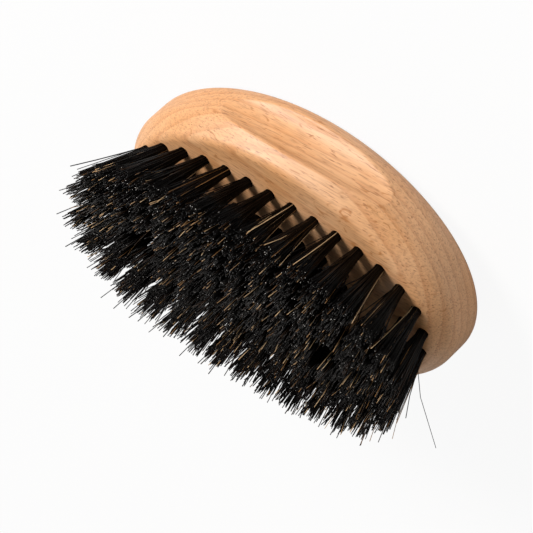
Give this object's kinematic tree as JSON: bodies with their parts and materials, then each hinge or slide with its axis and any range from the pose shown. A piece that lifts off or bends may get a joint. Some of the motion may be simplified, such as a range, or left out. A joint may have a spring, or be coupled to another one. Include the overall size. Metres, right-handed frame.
{
  "type": "beard brush",
  "caption": "Oval palm brush with a thick rounded beech body, a finger groove along each side and rows of dark natural bristle tufts.",
  "frame": {"origin": "middle of the flat land on the back of the wooden body, which the brush rests on", "axes": "+Z is the way the bristles point, +X is the long way of the body, +Y is across the body"},
  "size_m": [0.1026, 0.067, 0.0411],
  "materials": {
    "beech": "satin waxed beech",
    "bristle": "black natural boar bristle with a few fair hairs",
    "anchor_wire": "flat drawn wire, hidden in the holes"
  },
  "bodies": {
    "root": {"anchors_inner": "anchor_wire", "anchors_outer": "anchor_wire", "anchors_second": "anchor_wire", "anchors_third": "anchor_wire", "tuft_inner_01": "bristle", "tuft_inner_02": "bristle", "tuft_inner_03": "bristle", "tuft_inner_04": "bristle", "tuft_inner_05": "bristle", "tuft_inner_06": "bristle", "tuft_inner_07": "bristle", "tuft_outer_01": "bristle", "tuft_outer_02": "bristle", "tuft_outer_03": "bristle", "tuft_outer_04": "bristle", "tuft_outer_05": "bristle", "tuft_outer_06": "bristle", "tuft_outer_07": "bristle", "tuft_outer_08": "bristle", "tuft_outer_09": "bristle", "tuft_outer_10": "bristle", "tuft_outer_11": "bristle", "tuft_outer_12": "bristle", "tuft_outer_13": "bristle", "tuft_outer_14": "bristle", "tuft_outer_15": "bristle", "tuft_outer_16": "bristle", "tuft_second_01": "bristle", "tuft_second_02": "bristle", "tuft_second_03": "bristle", "tuft_second_04": "bristle", "tuft_second_05": "bristle", "tuft_second_06": "bristle", "tuft_second_07": "bristle", "tuft_second_08": "bristle", "tuft_second_09": "bristle", "tuft_second_10": "bristle", "tuft_second_11": "bristle", "tuft_second_12": "bristle", "tuft_second_13": "bristle", "tuft_third_01": "bristle", "tuft_third_02": "bristle", "tuft_third_03": "bristle", "tuft_third_04": "bristle", "tuft_third_05": "bristle", "tuft_third_06": "bristle", "tuft_third_07": "bristle", "tuft_third_08": "bristle", "tuft_third_09": "bristle", "tuft_third_10": "bristle", "tuft_third_11": "bristle", "wood_body": "beech"}
  },
  "joints": []
}
